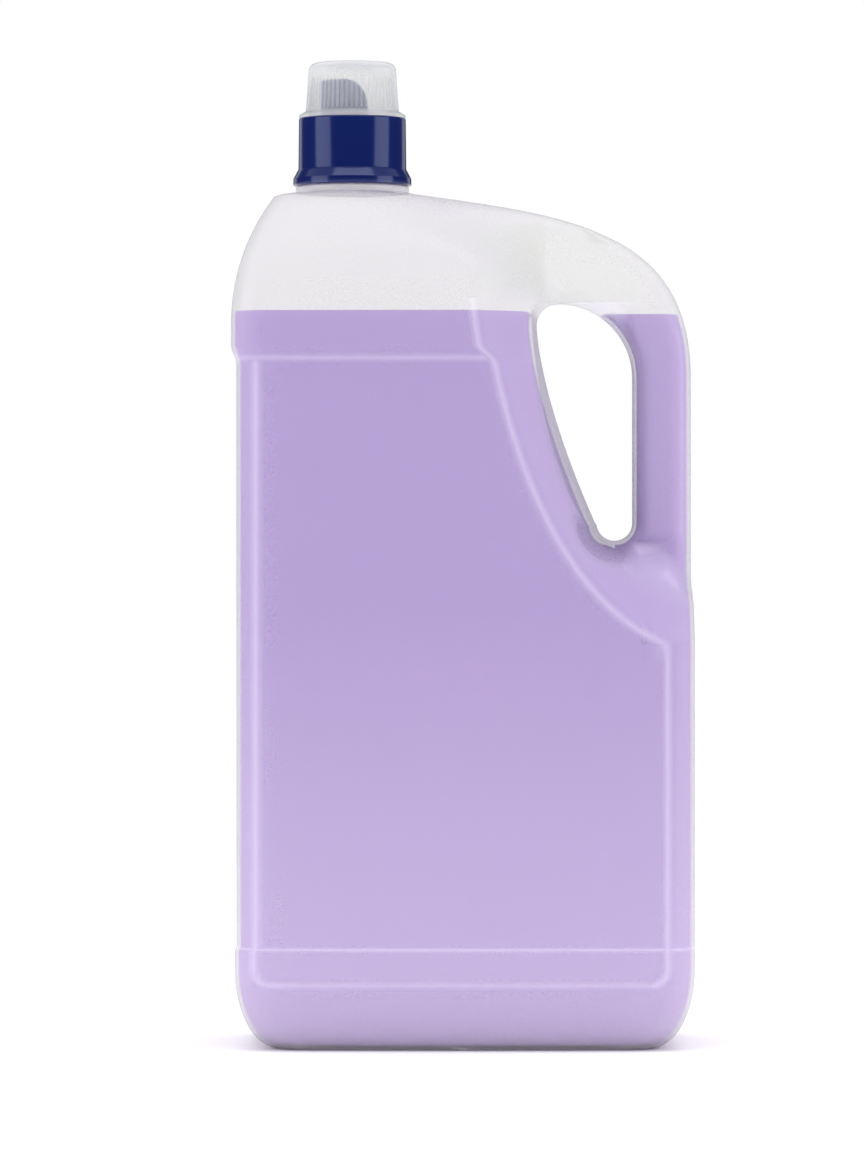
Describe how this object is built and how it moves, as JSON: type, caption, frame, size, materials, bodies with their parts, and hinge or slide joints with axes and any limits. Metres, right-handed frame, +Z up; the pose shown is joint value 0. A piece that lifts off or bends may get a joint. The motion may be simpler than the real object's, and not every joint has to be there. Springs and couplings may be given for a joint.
{
  "type": "fabric softener bottle",
  "caption": "Large blown plastic bottle with a grip hole through its side, filled with lilac liquid, with a pouring fitment on its neck and a lift-off dosing cap.",
  "frame": {"origin": "middle of the bottle's footprint, on the surface it stands on", "axes": "+Z up along the bottle, +X across its width towards the handle, -Y out of the front face"},
  "size_m": [0.18, 0.118, 0.3867],
  "materials": {
    "translucent_shell": "satin translucent polyethylene",
    "lilac_liquid": "milky lilac liquid",
    "navy_plastic": "glossy moulded polypropylene",
    "frosted_plastic": "frosted translucent polypropylene"
  },
  "bodies": {
    "pack": {"bottle": "translucent_shell", "softener_liquid": "lilac_liquid", "pour_fitment": "navy_plastic"},
    "cap": {"dosing_cap": "frosted_plastic"}
  },
  "joints": [
    {"name": "cap_lift", "type": "slide", "parent": "pack", "child": "cap", "axis": [0, 0, 1], "range_m": [0, 0.06]}
  ]
}
